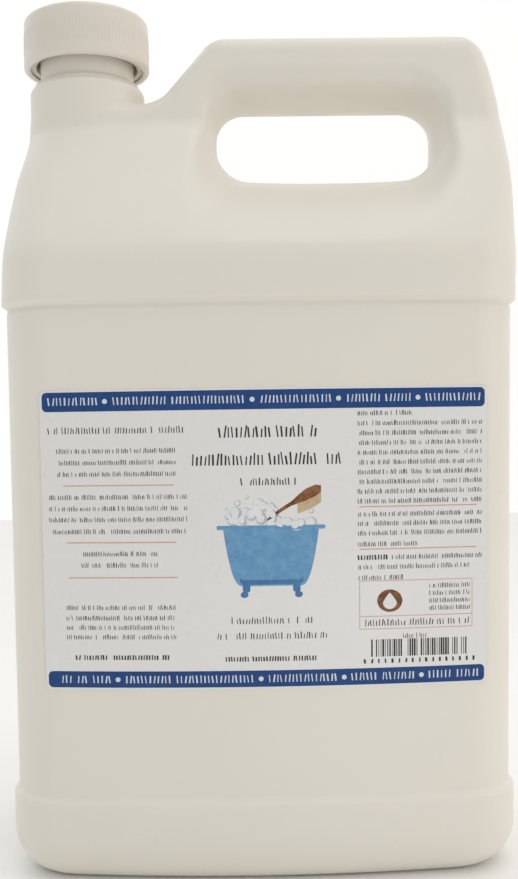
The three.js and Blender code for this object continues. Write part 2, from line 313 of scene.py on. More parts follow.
def smoothCurve(table):  # a curve through the points that doesn't overshoot them
    xs, ys = np.array(table, float).T
    step = np.diff(xs)
    slope = np.diff(ys) / step
    same = slope[:-1] * slope[1:] > 0
    total = np.where(same, slope[:-1] + slope[1:], 1.0)
    between = np.where(same, 2 * slope[:-1] * slope[1:] / total, 0.0)
    tangent = np.concatenate([[slope[0]], between, [slope[-1]]])

    def curve(x):
        x = np.clip(x, xs[0], xs[-1])
        i = np.clip(np.searchsorted(xs, x) - 1, 0, len(step) - 1)
        t = (x - xs[i]) / step[i]
        return ((1 + 2 * t) * (1 - t) ** 2 * ys[i] + t * (1 - t) ** 2 * step[i] * tangent[i]
                + t * t * (3 - 2 * t) * ys[i + 1] + t * t * (t - 1) * step[i] * tangent[i + 1])
    return curve


def roundMax(first, second, radius):  # where two skins meet in an outside edge of this radius
    first, second = np.broadcast_arrays(first, second)
    corner = np.hypot(np.maximum(first + radius, 0), np.maximum(second + radius, 0))
    return np.minimum(-radius, np.maximum(first, second)) + corner


def roundMin(first, second, radius):  # where two skins meet in an inside corner of this radius
    return -roundMax(-first, -second, radius)


# The jug's shape

jug = {
    "wall": 1.0, "crown": 6.4, "recess": 1.6, "groove": 0.3,
    "footHeight": 17.0, "footInset": 11.0, "standRing": (20.0, 17.0, 14.0), "pushUp": 3.0,
    "pushUpInsets": (42.0, 34.0, 27.0), "softening": 0.7,
    "baseBandTop": 30.7, "shoulderBandBottom": 203.2, "join": 213.0,
    "handleTop": 302.0, "edge": 6.0, "topEdge": 3.4,
    "webTop": 278.8, "slopeFoot": (-33.1, 281.7), "slopeHead": (-19.2, 297.5), "webFillet": 3.6,
    "net": 1.3, "fineRow": 0.5, "ringPoints": (18, 40, 16),
    "innerNet": 2.6, "innerFineRow": 1.3, "innerRingPoints": (9, 16, 8),
    "sliver": 0.2, "easings": 12, "bent": 0.5,
}

jugTop = {  # by height: how far the skin reaches to the left, to the right and to the front
    "left": smoothCurve([(204, 91.5), (220, 90.6), (235, 89.3), (250, 87.5), (265, 85.1), (273, 84.5),
                         (302, 84.5)]),
    "right": smoothCurve([(204, 91.5), (225, 91.2), (250, 91.1), (268, 90.7), (276, 90.0), (284, 88.3),
                          (292, 86.0), (302, 81.6)]),
    "depth": smoothCurve([(204, 55), (215, 54.8), (220, 53.8), (226, 50.6), (236, 43.9), (247, 36.4),
                          (258, 28.9), (266, 23.6), (269, 21.7), (271, 20.8), (273, 20.4), (277, 20.2),
                          (288, 19.5), (302, 19.0)]),
    "crown": smoothCurve([(204, 6.4), (215, 6.2), (226, 4.8), (247, 1.8), (258, 0.8), (271, 0), (302, 0)]),
    "leftCorner": smoothCurve([(204, 18), (247, 18), (258, 19), (271, 20.5), (302, 19)]),
    "rightCorner": smoothCurve([(204, 18), (214, 17), (225, 15.2), (232, 12.6), (239, 9.8), (247, 7.4),
                                (255, 6), (267, 6), (277, 7), (302, 7)]),
}

handleHole = {"left": -14.2, "right": 69.2, "bottom": 251.3, "top": 279.55, "halfHeight": 14.0,
              "endBow": 1.4, "lowCorner": 12.5, "highCorner": 11.2, "cornerBlend": 12.0, "cornerFlare": 0.2,
              "gripHalf": 19.5, "gripRound": 9.6, "crestFall": 0.0098,
              "endRise": 0.0012, "riseCentre": 27.0, "riseFrom": 5.0,
              "leftFlare": 0.009, "rightFlare": 0.004, "edge": 3.2}

neck = {"radius": 21.5, "shelf": 288.3, "shelfRound": 3.6, "ledgeRadius": 19.7, "ledge": 289.0,
        "ledgeRound": 0.8, "ledgeFillet": 0.4, "finishRadius": 17.5, "finishFillet": 1.0, "bore": 15.2,
        "blend": 1.4, "cut": 291.0, "start": 292.2, "outerLip": 0.6, "innerLip": 0.5, "rows": 44}


def sectionAt(z, shrink=0.0):  # the rounded rectangle with bellied faces at a height
    part = {key: curve(z) for key, curve in jugTop.items()}
    middle = (part["right"] - part["left"]) / 2
    half = (part["right"] + part["left"]) / 2 - shrink
    flat = part["depth"] - shrink - part["crown"]
    return (middle, half, flat, part["crown"], np.minimum(part["leftCorner"] - shrink, flat),
            np.minimum(part["rightCorner"] - shrink, flat))


def boxField(x, y, halfX, halfY, corner):  # a rounded rectangle about the origin
    qx = np.abs(x) - halfX + corner
    qy = np.abs(y) - halfY + corner
    return np.hypot(np.maximum(qx, 0), np.maximum(qy, 0)) + np.minimum(np.maximum(qx, qy), 0) - corner


def holeField(x, y, z):  # below zero inside the handle's hole
    hole = handleHole
    part = np.minimum(np.abs(y) / hole["gripHalf"], 0.995)
    top = hole["top"] + hole["gripRound"] * (1 - np.sqrt(1 - part * part))
    bottom = hole["bottom"] - hole["crestFall"] * y * y
    bottom = bottom + hole["endRise"] * np.maximum(np.abs(x - hole["riseCentre"]) - hole["riseFrom"], 0) ** 2
    rise = z - (top + bottom) / 2
    left = hole["left"] - hole["leftFlare"] * y * y
    right = hole["right"] + hole["rightFlare"] * y * y - hole["endBow"] * (rise / hole["halfHeight"]) ** 2
    share = np.clip(rise / hole["cornerBlend"] + 0.5, 0, 1)
    corner = hole["lowCorner"] + (hole["highCorner"] - hole["lowCorner"]) * share * share * (3 - 2 * share)
    corner = corner + hole["cornerFlare"] * (hole["leftFlare"] + hole["rightFlare"]) * y * y
    return boxField(x - (left + right) / 2, rise, (right - left) / 2, (top - bottom) / 2, corner)


def jugField(x, y, z, withFinish=True):  # below zero inside the jug's outline, above zero outside
    middle, half, flat, crown, leftCorner, rightCorner = sectionAt(z)
    belly = crown * (1 - np.clip((x - middle) / half, -1, 1) ** 2)
    side = boxField(x - middle, y, half, flat + belly, np.where(x > middle, rightCorner, leftCorner))
    (footX, footZ), (headX, headZ) = jug["slopeFoot"], jug["slopeHead"]
    run, rise = headX - footX, headZ - footZ
    slope = ((z - footZ) * run - (x - footX) * rise) / math.hypot(run, rise)
    outline = roundMin(z - jug["webTop"], slope, jug["webFillet"])
    outline = roundMax(outline, z - jug["handleTop"], jug["topEdge"])
    body = roundMax(side, outline, jug["edge"])
    around = np.hypot(x - neckX, y)
    stem = roundMax(around - neck["radius"], z - neck["shelf"], neck["shelfRound"])
    ledge = roundMax(around - neck["ledgeRadius"], z - neck["ledge"], neck["ledgeRound"])
    stem = roundMin(stem, ledge, neck["ledgeFillet"])
    if withFinish:
        stem = roundMin(stem, around - neck["finishRadius"], neck["finishFillet"])
    whole = roundMin(body, stem, neck["blend"])
    return roundMax(whole, -holeField(x, y, z), handleHole["edge"])


def innerField(x, y, z):  # the same for the space inside the jug and up the bore
    around = np.hypot(x - neckX, y)
    return roundMin(jugField(x, y, z, False) + jug["wall"], around - neck["bore"], neck["finishFillet"])


def ontoField(field, points):  # slides points along the slope of the field to its skin
    reach = 0.05
    for _ in range(6):
        value = field(*points.T)
        slope = np.stack([(field(*(points + step).T) - field(*(points - step).T)) / (2 * reach)
                          for step in np.eye(3) * reach], -1)
        move = slope * (value / np.maximum((slope ** 2).sum(-1), 0.05))[:, None]
        length = np.linalg.norm(move, axis=-1, keepdims=True)
        points = points - move * np.minimum(1.0, 1.2 / np.maximum(length, 1e-9))
    return points


def netOver(field, xs, ys, zs):  # a quad net over the skin of a field: one point for each cell it crosses
    inside = field(*np.meshgrid(xs, ys, zs, indexing="ij")) < 0
    corners = sum(inside[i:len(xs) - 1 + i, j:len(ys) - 1 + j, k:len(zs) - 1 + k].astype(int)
                  for i in (0, 1) for j in (0, 1) for k in (0, 1))
    mixed = (corners > 0) & (corners < 8)
    index = np.full(mixed.shape, -1)
    index[mixed] = np.arange(mixed.sum())
    cells = np.argwhere(mixed)
    middles = [(line[1:] + line[:-1]) / 2 for line in (xs, ys, zs)]
    points = np.stack([middles[axis][cells[:, axis]] for axis in range(3)], -1)
    quads = []
    for axis in range(3):
        second, third = (axis + 1) % 3, (axis + 2) % 3
        turned = inside.transpose(axis, second, third)
        table = index.transpose(axis, second, third)
        here, there = turned[:-1, 1:-1, 1:-1], turned[1:, 1:-1, 1:-1]
        around = [table[:, :-1, :-1], table[:, 1:, :-1], table[:, 1:, 1:], table[:, :-1, 1:]]
        for crossing, order in ((here & ~there, (0, 1, 2, 3)), (~here & there, (3, 2, 1, 0))):
            quads.append(np.stack([around[k][crossing] for k in order], -1))
    return ontoField(field, points), np.concatenate(quads), cells[:, 2]


def loopAt(points, faces, height, centre):  # the open edge near a height, in order round its centre
    edges = np.concatenate([faces[:, [0, 1]], faces[:, [1, 2]], faces[:, [2, 3]], faces[:, [3, 0]]])
    kept, times = np.unique(np.sort(edges, 1), axis=0, return_counts=True)
    rim = np.unique(kept[times == 1])
    rim = rim[np.abs(points[rim, 2] - height) < 1.0]
    return rim[np.argsort(np.arctan2(points[rim, 1] - centre[1], points[rim, 0] - centre[0]))]


def stitch(points, first, second, centre):  # triangles between two loops that go round the same centre
    def angles(loop):
        return np.arctan2(points[loop, 1] - centre[1], points[loop, 0] - centre[0])
    order = [loop[np.argsort(angles(loop))] for loop in (first, second)]
    turn = [np.append(angles(loop), angles(loop)[0] + 2 * math.pi) for loop in order]
    a = b = 0
    faces = []
    while a < len(order[0]) or b < len(order[1]):
        useFirst = b >= len(order[1]) or (a < len(order[0]) and turn[0][a + 1] <= turn[1][b + 1])
        here = [order[0][a % len(order[0])], order[1][b % len(order[1])]]
        if useFirst:
            a += 1
            faces.append([here[0], order[0][a % len(order[0])], here[1]])
        else:
            b += 1
            faces.append([here[0], order[1][b % len(order[1])], here[1]])
    return faces


def ringAt(z, inset, perCorner, perFace, perSide):  # a level ring of the jug's lower part
    middle, half, flat, crown, corner, _ = sectionAt(z, inset)
    corner = min(float(corner) + inset * jug["softening"], float(flat) - 0.5)  # rounder towards the base
    side, face = (2 * (flat - corner), perSide), (2 * (half - corner), perFace)
    corners = [(1, -1, -90, (0, 1), side), (1, 1, 0, (-1, 0), face), (-1, 1, 90, (0, -1), side),
               (-1, -1, 180, (1, 0), face)]
    points = []
    for signX, signY, start, way, (size, steps) in corners:  # a corner, then the straight run after it
        centreX, centreY = signX * (half - corner), signY * (flat - corner)
        for i in range(perCorner):
            angle = math.radians(start + 90 * i / perCorner)
            points.append((centreX + corner * math.cos(angle), centreY + corner * math.sin(angle)))
        end = math.radians(start + 90)
        last = (centreX + corner * math.cos(end), centreY + corner * math.sin(end))
        points += [(last[0] + way[0] * size * i / steps, last[1] + way[1] * size * i / steps)
                   for i in range(steps)]
    flatPoints = np.array(points)
    belly = crown * (1 - np.clip(flatPoints[:, 0] / half, -1, 1) ** 2)
    flatPoints[:, 1] += np.sign(flatPoints[:, 1]) * belly
    return np.column_stack([flatPoints[:, 0] + middle, flatPoints[:, 1], np.full(len(flatPoints), z)])


def lowerProfile():  # (height, inset) from the middle of the base up to the join
    def easing(start, end, low, high, steps):
        share = np.linspace(0, 1, steps + 1)[1:]
        return [(start + (end - start) * s, low + (high - low) * s * s * (3 - 2 * s)) for s in share]
    pushUp, recess = jug["pushUp"], jug["recess"]
    middle, rim, slopeTop = jug["pushUpInsets"]
    inside, *flatRing = jug["standRing"]
    profile = [(pushUp, middle), (pushUp, rim)]
    profile += easing(pushUp, 0.0, slopeTop, inside, 6)
    profile += [(0.0, inset) for inset in flatRing]
    for i in range(15):
        angle = i / 14 * math.pi / 2
        profile.append((jug["footHeight"] * (1 - math.cos(angle)), jug["footInset"] * (1 - math.sin(angle))))
    bandTop = jug["baseBandTop"] - 2.0
    profile += [(z, 0.0) for z in (20, 24, 27, bandTop - 0.3)]
    profile += easing(bandTop, bandTop + 3.0, 0.0, recess, 10)
    profile += [(z, recess) for z in np.linspace(bandTop + 4.3, jug["shoulderBandBottom"] - 3.7, 26)]
    under, groove = jug["shoulderBandBottom"] - 1.6, jug["groove"]
    profile += [(under - 1.3, recess), (under - 0.8, recess + 0.3 * groove), (under - 0.4, recess + groove)]
    profile += easing(under, under + 2.1, recess + groove, 0.0, 12)
    profile += [(z, 0.0) for z in (204.6, 206, 208, 210, jug["join"] - 2)]
    return profile


def lowerShell(profile, perCorner, perFace, perSide):
    rings = [ringAt(z, inset, perCorner, perFace, perSide) for z, inset in profile]
    count = len(rings[0])
    faces = [face for i in range(len(rings) - 1) for face in band(i * count, (i + 1) * count, count)]
    middle = np.append(rings[0][:, :2].mean(0), rings[0][0, 2])
    faces += [[i, (i + 1) % count, len(rings) * count] for i in range(count)]
    return np.concatenate(rings + [middle[None]]), faces, np.arange(count) + (len(rings) - 1) * count


thread = {"pitch": 25.4 / 6, "height": 1.15, "rootHalf": 1.1, "crestHalf": 0.45, "neckStart": 300.0,
          "neckTurns": 28 / 24, "capTurns": 26 / 24, "capLead": 11 / 24, "firstAngle": math.radians(3.75),
          "capTip": 17.9, "segments": 144}


def threadAt(angle, z, startTurn, turns, startZ):  # 0 off the ridge, 1 on its crest
    best = np.zeros(np.broadcast(angle, z).shape)
    base = (angle - thread["firstAngle"]) / (2 * math.pi)
    for lap in range(-2, 4):
        turn = base + lap
        away = np.abs(z - startZ - turn * thread["pitch"])
        flank = np.clip((thread["rootHalf"] - away) / (thread["rootHalf"] - thread["crestHalf"]), 0, 1)
        fade = np.clip(np.minimum(turn - startTurn, startTurn + turns - turn) * 9, 0, 1)
        best = np.maximum(best, flank * flank * (3 - 2 * flank) * fade)
    return best


def neckFinish():  # the threaded mouth, as rings from the outside over the rim into the bore
    radius, bore, outerLip, innerLip = (neck[key] for key in ("finishRadius", "bore", "outerLip", "innerLip"))
    segments, straight = thread["segments"], neck["rows"]
    rows = [(radius, z) for z in np.linspace(neck["start"], rimTop - outerLip - 0.1, straight)]
    rows += [(radius - outerLip * (1 - math.cos(a)), rimTop - outerLip * (1 - math.sin(a)))
             for a in (0.5, 1.0, 1.57)]
    rows += [(bore + innerLip * (1 - math.sin(a)), rimTop - innerLip * (1 - math.cos(a)))
             for a in (0.0, 0.6, 1.1, 1.57)]
    rows += [(bore, z) for z in (304.0, 300.0, 296.0, neck["start"])]
    angles = np.arange(segments) * 2 * math.pi / segments
    rings = []
    for row, (r, z) in enumerate(rows):
        ridge = threadAt(angles, z, 0.0, thread["neckTurns"], thread["neckStart"]) if row < straight else 0.0
        reach = r + thread["height"] * ridge
        rings.append(np.column_stack([neckX + reach * np.cos(angles), reach * np.sin(angles),
                                      np.full(segments, z)]))
    faces = [face for i in range(len(rings) - 1) for face in band(i * segments, (i + 1) * segments, segments)]
    return np.concatenate(rings), faces


def topNet(field, spacing, fineRow):  # the net above the join, with low rows at the neck's ledges
    xs = np.arange(-halfWidth - 2.5 * spacing, halfWidth + 2.5 * spacing, spacing)
    ys = np.arange(-halfDepth - 2.5 * spacing, halfDepth + 2.5 * spacing, spacing)
    below = np.arange(jug["join"] - 2.5 * spacing, neck["shelf"] - 3.0, spacing)
    fine = np.arange(below[-1] + fineRow, neck["cut"] + 2.5, fineRow)
    above = np.arange(fine[-1] + spacing, jug["handleTop"] + 3 * spacing, spacing)
    zs = np.concatenate([below, fine, above])
    points, quads, rows = netOver(field, xs, ys, zs)
    heights = (zs[1:] + zs[:-1]) / 2
    lowRow = np.searchsorted(heights, jug["join"] - 0.01)
    highRow = np.searchsorted(heights, neck["cut"])
    onFinish = (np.hypot(points[:, 0] - neckX, points[:, 1]) < neck["finishRadius"] + 2) & (rows > highRow)
    keep = (rows[quads] >= lowRow).all(1) & ~onFinish[quads].any(1)
    return points, quads[keep], heights[lowRow], heights[highRow]


def easeSlivers(work):  # closes up the net's tiniest faces and flattens the folds they leave
    low, high = (jug["join"] - 1.5) * mm, (neck["shelf"] - 0.6) * mm
    beside = (neckX + neck["radius"] + 2) * mm

    def inNet(vert):
        return vert.co.z > low and (vert.co.z < high or vert.co.x > beside)

    def isBent(edge):
        if len(edge.link_faces) != 2 or not inNet(edge.verts[0]):
            return False
        return edge.link_faces[0].normal.dot(edge.link_faces[1].normal) < jug["bent"]

    sliver = jug["sliver"] * mm
    short = [edge for edge in work.edges if edge.calc_length() < sliver and inNet(edge.verts[0])]
    bmesh.ops.dissolve_degenerate(work, dist=sliver, edges=short)
    for _ in range(jug["easings"]):
        work.normal_update()
        bent = {vert for edge in work.edges if isBent(edge) for vert in edge.verts}
        bmesh.ops.smooth_vert(work, verts=list(bent), factor=0.5,
                              use_axis_x=True, use_axis_y=True, use_axis_z=True)


def makeJug():  # lower shell, net and threaded mouth outside, the same inside, stitched into one skin
    neckCentre, wall, segments = (neckX, 0.0), jug["wall"], thread["segments"]
    outer, outerFaces, outerRing = lowerShell(lowerProfile(), *jug["ringPoints"])
    net, netFaces, joinZ, cutZ = topNet(jugField, jug["net"], jug["fineRow"])
    innerProfile = [(z + (wall if z < 12 else 0), inset + wall) for z, inset in lowerProfile()]
    inner, innerFaces, innerRing = lowerShell(innerProfile, *jug["innerRingPoints"])
    cave, caveFaces, caveZ, boreZ = topNet(innerField, jug["innerNet"], jug["innerFineRow"])
    finish, finishFaces = neckFinish()
    counts = np.cumsum([0, len(outer), len(net), len(inner), len(cave)])
    points, faces = joined([(outer, outerFaces), (net, netFaces), (inner, innerFaces), (cave, caveFaces),
                            (finish, finishFaces)])
    faces += stitch(points, outerRing, loopAt(net, netFaces, joinZ, (0, 0)) + counts[1], (0, 0))
    faces += stitch(points, innerRing + counts[2], loopAt(cave, caveFaces, caveZ, (0, 0)) + counts[3], (0, 0))
    firstRing = np.arange(segments) + counts[4]
    lastRing = np.arange(len(finish) - segments, len(finish)) + counts[4]
    faces += stitch(points, loopAt(net, netFaces, cutZ, neckCentre) + counts[1], firstRing, neckCentre)
    faces += stitch(points, loopAt(cave, caveFaces, boreZ, neckCentre) + counts[3], lastRing, neckCentre)
    used = np.unique(np.concatenate([np.asarray(face) for face in faces]))
    renumber = np.full(len(points), -1)
    renumber[used] = np.arange(len(used))
    faces = [[renumber[i] for i in face] for face in faces]
    piece = makePiece("jug_shell", points[used], faces, jugPlastic(), "bottle_body", "jug_plastic",
                      fix=easeSlivers)
    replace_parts(piece, "jug")
    work = bmesh.new()
    work.from_mesh(piece.data)
    loose = sum(1 for edge in work.edges if len(edge.link_faces) != 2)
    print("jug: %d faces, %d edges without two faces, volume %.1f ml" %
          (len(work.faces), loose, work.calc_volume() * 1e6))
    work.free()


# Turned pieces and what repeats round them

def turned(profile):  # (radius, height) points turned about the neck's axis, closed at both ends
    segments = thread["segments"]
    angles = np.arange(segments) * 2 * math.pi / segments
    rows, faces, count, last = [], [], 0, None
    for radius, z in profile:
        if radius == 0:
            rows.append(np.array([[neckX, 0, z]]))
            ring = [count] * segments
        else:
            rows.append(np.column_stack([neckX + radius * np.cos(angles), radius * np.sin(angles),
                                         np.full(segments, z)]))
            ring = list(range(count, count + segments))
        if last is not None:
            for i in range(segments):
                corners = [last[i], last[(i + 1) % segments], ring[(i + 1) % segments], ring[i]]
                faces.append(list(dict.fromkeys(corners)))
        last = ring
        count += len(rows[-1])
    return np.concatenate(rows), faces


def arcPoints(centreR, centreZ, radius, start, end, steps):
    return [(centreR + radius * math.cos(a), centreZ + radius * math.sin(a))
            for a in np.radians(np.linspace(start, end, steps + 1))]


class Tree:  # a Geometry Nodes tree that is put together in code
    def __init__(self, name, inputs):
        self.group = bpy.data.node_groups.new(name, "GeometryNodeTree")
        self.identifiers = {}
        for label, kind in inputs:
            socket = self.group.interface.new_socket(label, in_out="INPUT", socket_type="NodeSocket" + kind)
            self.identifiers[label] = socket.identifier
        self.group.interface.new_socket("Geometry", in_out="OUTPUT", socket_type="NodeSocketGeometry")
        self.source = self.group.nodes.new("NodeGroupInput")

    def given(self, label):
        return self.source.outputs[label]

    def make(self, kind, settings, sockets):
        node = self.group.nodes.new(kind)
        for key, value in settings.items():
            setattr(node, key, value)
        for key, value in sockets.items():
            if isinstance(value, bpy.types.NodeSocket):
                self.group.links.new(value, node.inputs[key])
            else:
                node.inputs[key].default_value = value
        return node

    def end(self, geometry):
        real = self.make("GeometryNodeRealizeInstances", {}, {"Geometry": geometry})
        dressed = self.make("GeometryNodeSetMaterial", {}, {"Geometry": real.outputs[0],
                                                            "Material": self.given("Material")})
        out = self.group.nodes.new("NodeGroupOutput")
        self.group.links.new(dressed.outputs[0], out.inputs[0])

    def run(self, name, base, values, body, slot):  # the finished piece, as a plain mesh
        holder = bpy.data.objects.new(name + "_maker", base)
        bpy.context.scene.collection.objects.link(holder)
        modifier = holder.modifiers.new("maker", "NODES")
        modifier.node_group = self.group
        for label, value in values.items():
            modifier[self.identifiers[label]] = value
        bpy.context.view_layer.update()
        mesh = bpy.data.meshes.new_from_object(holder.evaluated_get(bpy.context.evaluated_depsgraph_get()))
        mesh.name = name
        holder.modifiers.remove(modifier)
        bpy.data.objects.remove(holder)
        return addPiece(name, mesh, values["Material"], body, slot, False)


def ringTree():  # copies of one small shape, standing round an upright axis
    tree = Tree("ring_of_copies", [("Geometry", "Geometry"), ("Copies", "Int"), ("Radius", "Float"),
                                   ("Centre", "Vector"), ("Turn", "Float"), ("Material", "Material")])
    circle = tree.make("GeometryNodeMeshCircle", {}, {"Vertices": tree.given("Copies"),
                                                      "Radius": tree.given("Radius")})
    place = tree.make("GeometryNodeInputPosition", {}, {})
    facing = tree.make("FunctionNodeAlignRotationToVector", {"axis": "X", "pivot_axis": "Z"},
                       {"Vector": place.outputs[0]})
    copies = tree.make("GeometryNodeInstanceOnPoints", {}, {"Points": circle.outputs[0],
                                                            "Instance": tree.given("Geometry"),
                                                            "Rotation": facing.outputs[0]})
    spin = tree.make("ShaderNodeCombineXYZ", {}, {"Z": tree.given("Turn")})
    moved = tree.make("GeometryNodeTransform", {}, {"Geometry": copies.outputs[0],
                                                    "Translation": tree.given("Centre"),
                                                    "Rotation": spin.outputs[0]})
    tree.end(moved.outputs[0])
    return tree


def loftMesh(name, rings):  # a closed solid through rings of equal count
    count = len(rings[0])
    faces = [face for i in range(len(rings) - 1) for face in band(i * count, (i + 1) * count, count)]
    faces += [list(range(count)), list(range((len(rings) - 1) * count, len(rings) * count))[::-1]]
    return closedMesh(name, np.concatenate(rings), faces)


# Caps

outerCap = {"topRadius": 23.3, "radius": 23.6, "skirt": 1.6, "plate": 1.3, "topRound": 2.2, "footRound": 1.5,
            "bead": 21.0, "ribs": 110, "ribProud": 0.06, "ribWidth": 0.5, "ribFrom": 4.2, "ribTo": 13.5,
            "lugs": 8, "lugRadius": 14.0, "lugSize": (5.0, 3.4, 1.0)}


def lugMesh(bottom):
    length, width, height = outerCap["lugSize"]
    rings = []
    for z, inset in ((bottom, 0.0), (bottom + height - 0.25, 0.0), (bottom + height, 0.25)):
        half, side = length / 2 - inset, width / 2 - inset
        rings.append(np.array([(half, -side, z), (half, side, z), (-half, side, z), (-half, -side, z)]))
    return loftMesh("lug", rings)


def makeOuterCap(ring, finish):
    cap = outerCap
    low, high = capLow[2], capHigh[2]
    bore, foot = cap["radius"] - cap["skirt"], cap["footRound"]
    underside = high - cap["plate"]
    profile = [(0, high), (6, high), (12, high), (18, high - 0.02)]
    shoulder = high - cap["topRound"]
    profile += arcPoints(cap["topRadius"] - cap["topRound"], shoulder, cap["topRound"], 90, 0, 8)
    profile += [(cap["topRadius"] + (cap["radius"] - cap["topRadius"]) * share,
                 shoulder - (shoulder - low - foot) * share) for share in np.linspace(0, 1, 12)[1:-1]]
    profile += arcPoints(cap["radius"] - foot, low + foot, foot, 0, -90, 7)
    profile += [(bore - 0.3, low + 0.05), (cap["bead"] + 0.15, low + 0.45), (cap["bead"], low + 0.75),
                (cap["bead"], low + 0.95), (bore, low + 1.2), (bore, underside - 1.2)]
    profile += arcPoints(bore - 1.0, underside - 1.0, 1.0, 0, 90, 4)[1:]
    profile += [(12, underside), (0, underside)]
    points, faces = turned(profile)
    makePiece("outer_cap_shell", points, faces, finish, "outer_cap_body", "outer_cap_plastic")
    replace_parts(bpy.data.objects["outer_cap_shell"], "outer_cap")
    half, proud = cap["ribWidth"] / 2, cap["ribProud"]
    middle = (cap["radius"] + cap["topRadius"]) / 2
    lean = (cap["radius"] - cap["topRadius"]) / (high - low)
    rings = []
    for z, lift in ((cap["ribFrom"], -0.1), (cap["ribFrom"] + 0.8, proud), (cap["ribTo"] - 0.8, proud),
                    (cap["ribTo"], -0.1)):
        shift = lean * ((high - low) / 2 - z)
        rings.append(np.array([(shift - 0.2, -half, low + z), (shift + lift * 0.6, -half * 0.6, low + z),
                               (shift + lift, 0, low + z), (shift + lift * 0.6, half * 0.6, low + z),
                               (shift - 0.2, half, low + z)]))
    ring.run("outer_cap_ribs", loftMesh("rib", rings),
             {"Copies": cap["ribs"], "Radius": middle * mm, "Centre": (neckX * mm, 0, 0), "Turn": 0.0,
              "Material": finish}, "outer_cap_body", "outer_cap_plastic")
    ring.run("outer_cap_lugs", lugMesh(underside - cap["lugSize"][2]),
             {"Copies": cap["lugs"], "Radius": cap["lugRadius"] * mm, "Centre": (neckX * mm, 0, 0),
              "Turn": math.pi / cap["lugs"], "Material": finish}, "outer_cap_body", "outer_cap_plastic")


innerCap = {"bore": 19.0, "radius": 20.6, "flange": 21.7, "flangeHeight": 1.2,
            "plateBottom": 308.3, "top": 309.5}


def makeInnerCap(ring, finish):
    cap, low, segments = innerCap, innerCapFoot, thread["segments"]
    profile = [(0, cap["top"]), (12, cap["top"])]
    profile += arcPoints(cap["radius"] - 0.8, cap["top"] - 0.8, 0.8, 90, 0, 4)
    profile += [(cap["radius"], low + cap["flangeHeight"] + 0.8),
                (cap["flange"] - 0.3, low + cap["flangeHeight"])]
    profile += arcPoints(cap["flange"] - 0.35, low + 0.35, 0.35, 0, -90, 3)
    profile += arcPoints(cap["bore"] + 0.35, low + 0.35, 0.35, 270, 180, 3)
    heights = np.linspace(low + 1.2, cap["plateBottom"] - 0.4, 46)
    first = len(profile)
    profile += [(cap["bore"], z) for z in heights]
    profile += [(cap["bore"] - 0.6, cap["plateBottom"]), (12, cap["plateBottom"]), (0, cap["plateBottom"])]
    points, faces = turned(profile)
    angles = np.arange(segments) * 2 * math.pi / segments
    reach = cap["bore"] - thread["capTip"]
    start = thread["neckStart"] + thread["pitch"] / 2
    for row, z in enumerate(heights):  # the ridge that runs in the neck's thread
        radius = cap["bore"] - reach * threadAt(angles, z, -thread["capLead"], thread["capTurns"], start)
        place = 1 + (first + row - 1) * segments
        points[place:place + segments, 0] = neckX + radius * np.cos(angles)
        points[place:place + segments, 1] = radius * np.sin(angles)
    makePiece("inner_cap_shell", points, faces, finish, "inner_cap_body", "inner_cap_plastic")
    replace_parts(bpy.data.objects["inner_cap_shell"], "inner_cap")
    ring.run("inner_cap_lugs", lugMesh(cap["top"] - 0.1),
             {"Copies": outerCap["lugs"], "Radius": outerCap["lugRadius"] * mm,
              "Centre": (neckX * mm, 0, 0), "Turn": 0.0, "Material": finish},
             "inner_cap_body", "inner_cap_plastic")


# The label: a film on the front panel, with its print lying on it

label = {"corner": 2.5, "film": 0.1, "gap": 0.05, "ink": 0.035, "columns": 72}
labelMiddle = (labelLow + labelHigh) / 2
labelHalf = (labelHigh - labelLow) / 2
panelFront = halfDepth - jug["recess"]
panelHalf = halfWidth - jug["recess"]


def onPanel(u, v, lift):  # from the label's own flat place to the bowed panel
    x = labelMiddle[0] + u
    front = panelFront - jug["crown"] * (x / panelHalf) ** 2 + label["gap"] + lift
    return np.stack([x, -front, labelMiddle[2] + v], -1)


def labelPiece(name, shape, finish):
    makePiece(name, *shape, finish, "bottle_body", "label_film", False)


def sheetOf(us, low, high, bottom, top):  # a thin solid between two edges, laid on the panel
    us, low, high = np.broadcast_arrays(np.asarray(us, float), low, high)
    rings = [onPanel(us, low, bottom), onPanel(us, high, bottom),
             onPanel(us, high, top), onPanel(us, low, top)]
    count = len(us)
    points = np.stack(rings, 1).reshape(-1, 3)
    faces = [face for i in range(count - 1) for face in band(4 * i, 4 * i + 4, 4)]
    faces += [[0, 1, 2, 3], [4 * count - 1, 4 * count - 2, 4 * count - 3, 4 * count - 4]]
    return points, faces


def roundedSheet(left, right, low, high, corner, bottom, top, columns=24):
    turn = np.linspace(0, math.pi / 2, 7)
    ends = corner * (1 - np.cos(turn))
    inset = corner * (1 - np.sin(turn))
    straight = np.linspace(left + corner, right - corner, columns)[1:-1]
    us = np.concatenate([left + ends, straight, right - ends[::-1]])
    cut = np.concatenate([inset, np.zeros(columns - 2), inset[::-1]])
    return sheetOf(us, low + cut, high - cut, bottom, top)


def disc(u, v, radius, bottom, top, tall=1.0, steps=14):
    across = -np.cos(np.linspace(0.12, math.pi - 0.12, steps)) * radius
    rise = np.sqrt(radius ** 2 - across ** 2) * tall
    return sheetOf(u + across, v - rise, v + rise, bottom, top)


